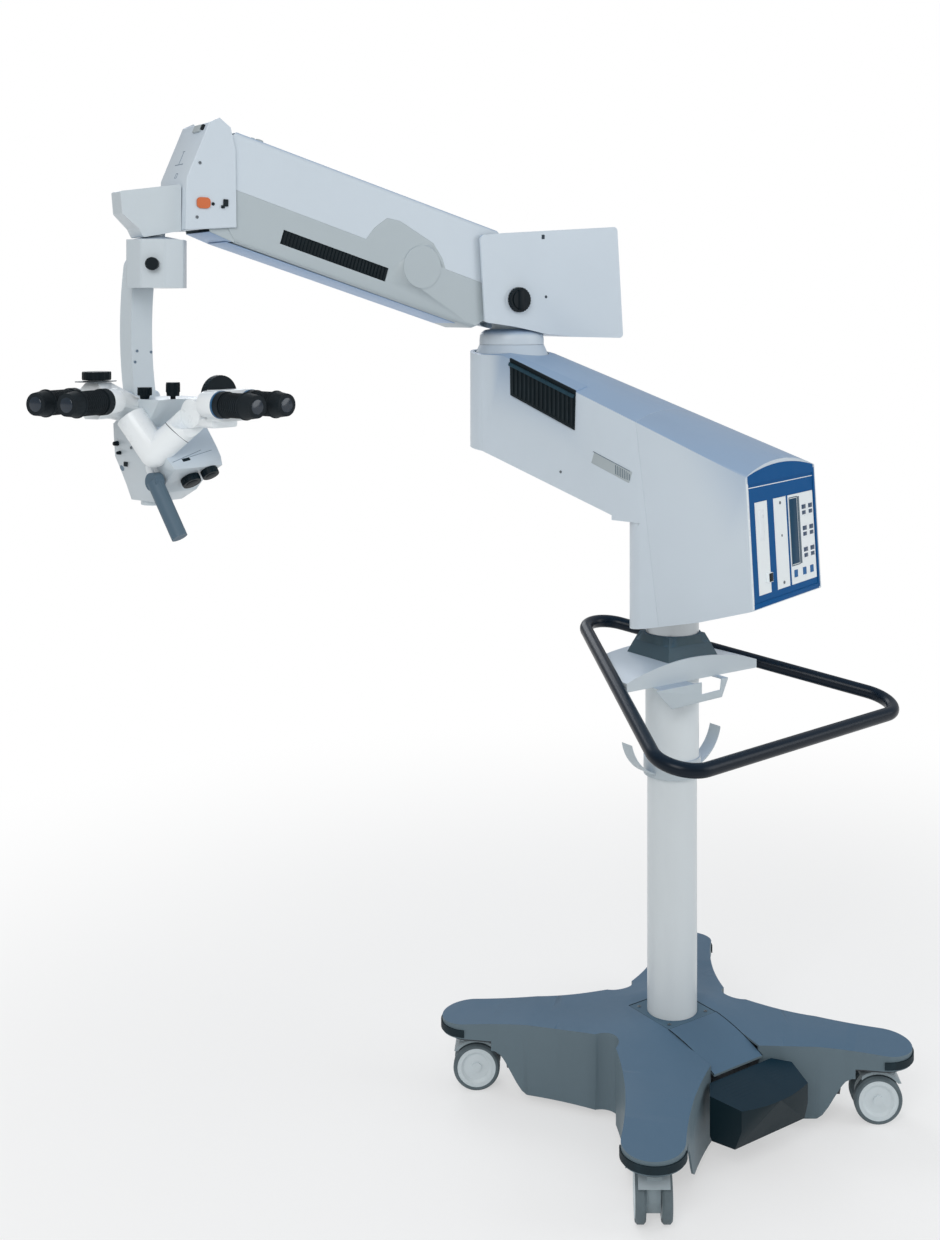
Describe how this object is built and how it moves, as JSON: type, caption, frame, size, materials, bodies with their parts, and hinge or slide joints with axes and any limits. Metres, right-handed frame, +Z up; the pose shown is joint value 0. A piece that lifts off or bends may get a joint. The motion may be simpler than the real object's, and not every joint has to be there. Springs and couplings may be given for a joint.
{
  "type": "surgical microscope on floor stand",
  "caption": "Operating microscope on a castor floor stand: column, swinging lower arm with control panel, balanced spring arm, tilting head with main and observer eyepieces.",
  "frame": {"origin": "column axis at floor level", "axes": "+Z up along the column, -Y towards the brake pedal, the spring arm runs along -X"},
  "size_m": [1.6299, 0.8938, 2.0613],
  "materials": {
    "base_paint": "blue-grey, fine texture",
    "dark_plate": "dark blue-grey",
    "cast": "painted casting",
    "bumper_rubber": "matt",
    "castor_grey": "matt",
    "wheel_grey": "matt",
    "column_paint": "satin light grey",
    "white_metal": "satin off-white",
    "white_plastic": "satin off-white",
    "handle_black": "satin black",
    "pedal_dark": "matt",
    "panel_blue": "satin blue",
    "panel_white": "satin white",
    "button_blue": "satin",
    "knob_black": "matt",
    "eyecup": "matt",
    "grip_grey": "matt",
    "button_orange": "satin",
    "machined": "machined",
    "steel": "machined"
  },
  "bodies": {
    "stand": {"base_chassis": "cast", "base_cover": "base_paint", "column_foot_plate": "dark_plate", "front_cover_plate": "base_paint", "corner_bumpers": "bumper_rubber", "column_tube": "column_paint", "column_sleeve": "column_paint", "hook_clamp": "white_metal", "accessory_bracket": "white_metal", "wing_plate": "machined", "cone_cover": "dark_plate", "arm_bearing_collar": "steel", "push_handle": "handle_black"},
    "brake_pedal": {"brake_pedal": "pedal_dark"},
    "lower_arm": {"lower_arm_housing": "white_plastic", "panel_end_cover": "white_plastic", "lower_arm_beam": "machined", "neck_ring": "white_plastic", "control_panel": "panel_blue", "panel_face_plates": "panel_white", "arm_grip_block": "grip_grey"},
    "panel_door": {"panel_door": "panel_white"},
    "pivot_box": {"pivot_box_shell": "white_plastic", "pivot_box_frame": "machined"},
    "balance_knob": {"balance_knob": "white_plastic"},
    "spring_arm": {"upper_link": "machined", "spring_arm_upper_cover": "white_plastic", "spring_arm_lower_cover": "white_plastic"},
    "lower_link": {"lower_link": "machined"},
    "front_head": {"front_housing": "white_plastic", "suspension_bracket": "machined"},
    "release_button": {"release_button": "button_orange"},
    "knuckle": {"swivel_knuckle": "machined"},
    "tilt_knob": {"tilt_knob": "white_plastic"},
    "carrier": {"carrier_arm": "machined"},
    "microscope": {"microscope_body": "machined", "objective_ring": "machined", "main_tube": "machined", "observer_tube": "machined", "observer_eyepieces": "eyecup"},
    "binocular": {"main_binocular": "machined", "main_eyepieces": "eyecup"},
    "interpupillary_knob": {"interpupillary_knob": "knob_black"},
    "focus_knob": {"focus_knob": "knob_black"},
    "zoom_knob": {"zoom_knob": "knob_black"},
    "tube_lock_knob": {"tube_lock_knob": "knob_black"},
    "observer_lock_knob": {"observer_lock_knob": "knob_black"},
    "observer_knob": {"observer_knob": "knob_black"},
    "hand_grip": {"hand_grip": "grip_grey"},
    "castor_front_left": {"castor_fork_front_left": "castor_grey"},
    "wheels_front_left": {"castor_wheels_front_left": "wheel_grey"},
    "castor_front_right": {"castor_fork_front_right": "castor_grey"},
    "wheels_front_right": {"castor_wheels_front_right": "wheel_grey"},
    "castor_rear_left": {"castor_fork_rear_left": "castor_grey"},
    "wheels_rear_left": {"castor_wheels_rear_left": "wheel_grey"},
    "castor_rear_right": {"castor_fork_rear_right": "castor_grey"},
    "wheels_rear_right": {"castor_wheels_rear_right": "wheel_grey"},
    "panel_button_1": {"panel_button_1": "button_blue"},
    "panel_button_2": {"panel_button_2": "button_blue"},
    "panel_button_3": {"panel_button_3": "button_blue"}
  },
  "joints": [
    {"name": "castor_swivel_front_left", "type": "hinge", "parent": "stand", "child": "castor_front_left", "pos_m": [-0.31113, -0.31113, 0.112], "axis": [0, 0, 1], "continuous": true},
    {"name": "castor_roll_front_left", "type": "hinge", "parent": "castor_front_left", "child": "wheels_front_left", "pos_m": [-0.30168, -0.29822, 0.05], "axis": [-0.807, 0.5906, 0], "continuous": true},
    {"name": "castor_swivel_front_right", "type": "hinge", "parent": "stand", "child": "castor_front_right", "pos_m": [0.31113, -0.31113, 0.112], "axis": [0, 0, 1], "continuous": true},
    {"name": "castor_roll_front_right", "type": "hinge", "parent": "castor_front_right", "child": "wheels_front_right", "pos_m": [0.29822, -0.30168, 0.05], "axis": [-0.5906, -0.807, 0], "continuous": true},
    {"name": "castor_swivel_rear_left", "type": "hinge", "parent": "stand", "child": "castor_rear_left", "pos_m": [-0.31113, 0.31113, 0.112], "axis": [0, 0, 1], "continuous": true},
    {"name": "castor_roll_rear_left", "type": "hinge", "parent": "castor_rear_left", "child": "wheels_rear_left", "pos_m": [-0.29822, 0.30168, 0.05], "axis": [0.5906, 0.807, 0], "continuous": true},
    {"name": "castor_swivel_rear_right", "type": "hinge", "parent": "stand", "child": "castor_rear_right", "pos_m": [0.31113, 0.31113, 0.112], "axis": [0, 0, 1], "continuous": true},
    {"name": "castor_roll_rear_right", "type": "hinge", "parent": "castor_rear_right", "child": "wheels_rear_right", "pos_m": [0.30168, 0.29822, 0.05], "axis": [0.807, -0.5906, 0], "continuous": true},
    {"name": "brake_pedal_tip", "type": "hinge", "parent": "stand", "child": "brake_pedal", "pos_m": [0, -0.225, 0.124], "axis": [1, 0, 0], "range_deg": [0, 8]},
    {"name": "lower_arm_swing", "type": "hinge", "parent": "stand", "child": "lower_arm", "pos_m": [0, 0, 1.1], "axis": [0, 0, 1], "range_deg": [-170, 170]},
    {"name": "pivot_box_swing", "type": "hinge", "parent": "lower_arm", "child": "pivot_box", "pos_m": [-0.13722, 0.40541, 1.6], "axis": [0, 0, 1], "range_deg": [-210, 68]},
    {"name": "balance_knob_turn", "type": "hinge", "parent": "pivot_box", "child": "balance_knob", "pos_m": [-0.1715, 0.33041, 1.706], "axis": [0, -1, 0], "range_deg": [-180, 180]},
    {"name": "spring_arm_tilt", "type": "hinge", "parent": "pivot_box", "child": "spring_arm", "pos_m": [-0.235, 0.40541, 1.76], "axis": [0, 1, 0], "range_deg": [-37, 5]},
    {"name": "lower_link_tilt", "type": "hinge", "parent": "pivot_box", "child": "lower_link", "pos_m": [-0.235, 0.40541, 1.675], "axis": [0, 1, 0], "range_deg": [-37, 5]},
    {"name": "front_head_level", "type": "hinge", "parent": "spring_arm", "child": "front_head", "pos_m": [-0.89007, 0.40541, 1.96027], "axis": [0, 1, 0], "range_deg": [-5, 37]},
    {"name": "release_button_press", "type": "slide", "parent": "front_head", "child": "release_button", "axis": [0, 1, 0], "range_m": [0, 0.003], "stiffness_N_per_m": 400},
    {"name": "knuckle_swing", "type": "hinge", "parent": "front_head", "child": "knuckle", "pos_m": [-0.98007, 0.40541, 1.84], "axis": [0, 0, 1], "range_deg": [-170, 170]},
    {"name": "tilt_knob_turn", "type": "hinge", "parent": "knuckle", "child": "tilt_knob", "pos_m": [-1.00673, 0.3573, 1.772], "axis": [-0.4848, -0.8746, 0], "range_deg": [-180, 180]},
    {"name": "carrier_tilt", "type": "hinge", "parent": "knuckle", "child": "carrier", "pos_m": [-0.98972, 0.43905, 1.765], "axis": [-0.2756, 0.9613, 0], "range_deg": [-25, 25]},
    {"name": "head_tilt", "type": "hinge", "parent": "carrier", "child": "microscope", "pos_m": [-0.9944, 0.45539, 1.505], "axis": [0.9613, 0.2756, 0], "range_deg": [-35, 40]},
    {"name": "binocular_tilt", "type": "hinge", "parent": "microscope", "child": "binocular", "pos_m": [-0.93983, 0.26506, 1.488], "axis": [0.9613, 0.2756, 0], "range_deg": [-60, 20]},
    {"name": "interpupillary_turn", "type": "hinge", "parent": "binocular", "child": "interpupillary_knob", "pos_m": [-0.92632, 0.21796, 1.522], "axis": [-0.2756, 0.9613, 0], "range_deg": [-60, 60]},
    {"name": "focus_knob_turn", "type": "hinge", "parent": "microscope", "child": "focus_knob", "pos_m": [-0.95154, 0.30956, 1.36148], "axis": [0.1607, -0.5603, -0.8125], "range_deg": [-170, 170]},
    {"name": "zoom_knob_turn", "type": "hinge", "parent": "microscope", "child": "zoom_knob", "pos_m": [-0.91747, 0.29956, 1.37511], "axis": [0.1607, -0.5603, -0.8125], "range_deg": [-170, 170]},
    {"name": "tube_lock_turn", "type": "hinge", "parent": "microscope", "child": "tube_lock_knob", "pos_m": [-1.02123, 0.36031, 1.512], "axis": [0, 0, 1], "range_deg": [-120, 120]},
    {"name": "observer_lock_turn", "type": "hinge", "parent": "microscope", "child": "observer_lock_knob", "pos_m": [-0.97697, 0.32931, 1.512], "axis": [0, 0, 1], "range_deg": [-120, 120]},
    {"name": "observer_knob_turn", "type": "hinge", "parent": "microscope", "child": "observer_knob", "pos_m": [-1.1147, 0.35963, 1.551], "axis": [0, 0, 1], "range_deg": [-60, 60]},
    {"name": "hand_grip_tip", "type": "hinge", "parent": "microscope", "child": "hand_grip", "pos_m": [-1.01041, 0.31348, 1.358], "axis": [0.9613, 0.2756, 0], "range_deg": [-30, 30]},
    {"name": "panel_door_open", "type": "hinge", "parent": "lower_arm", "child": "panel_door", "pos_m": [-0.02916, -0.29031, 1.213], "axis": [0.0198, -0.0584, -0.9981], "range_deg": [0, 100]},
    {"name": "panel_button_1_press", "type": "slide", "parent": "lower_arm", "child": "panel_button_1", "axis": [-0.32, 0.9454, -0.0617], "range_m": [0, 0.0012], "stiffness_N_per_m": 800},
    {"name": "panel_button_2_press", "type": "slide", "parent": "lower_arm", "child": "panel_button_2", "axis": [-0.32, 0.9454, -0.0617], "range_m": [0, 0.0012], "stiffness_N_per_m": 800},
    {"name": "panel_button_3_press", "type": "slide", "parent": "lower_arm", "child": "panel_button_3", "axis": [-0.32, 0.9454, -0.0617], "range_m": [0, 0.0012], "stiffness_N_per_m": 800}
  ],
  "couplings": [
    {"joint": "lower_link_tilt", "follows": "spring_arm_tilt", "ratio": 1},
    {"joint": "front_head_level", "follows": "spring_arm_tilt", "ratio": -1}
  ]
}
